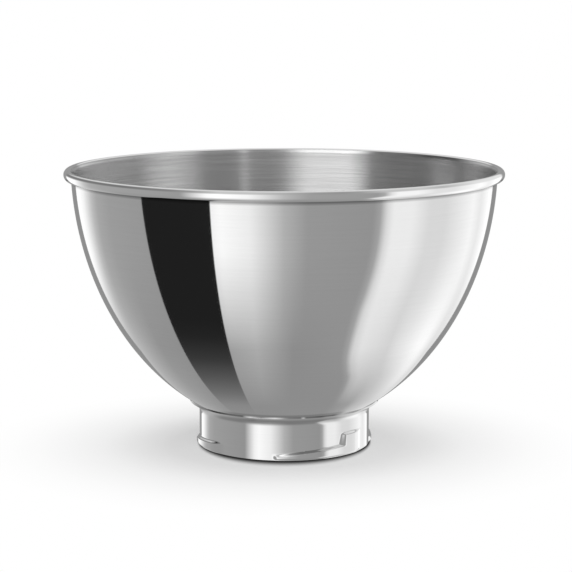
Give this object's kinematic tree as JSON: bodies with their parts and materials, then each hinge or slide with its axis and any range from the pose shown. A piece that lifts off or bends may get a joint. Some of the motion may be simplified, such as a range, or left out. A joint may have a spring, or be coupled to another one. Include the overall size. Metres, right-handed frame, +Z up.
{
  "type": "stand mixer bowl",
  "caption": "Deep round steel mixing bowl with a rolled rim, on a pressed foot ring whose bayonet lugs lock it into a stand mixer's base plate.",
  "frame": {"origin": "centre of the foot ring's bottom edge, in the plane that the bowl rests on", "axes": "+Z up along the bowl's axis; -Y is the side that faces the camera, with a lug's ramp starting just left of it"},
  "size_m": [0.2286, 0.2286, 0.1454],
  "materials": {
    "bowl_steel": "mirror-polished outside, brushed round the inside",
    "foot_steel": "mirror-polished"
  },
  "bodies": {
    "root": {"bowl": "bowl_steel", "locking_foot": "foot_steel"}
  },
  "joints": []
}
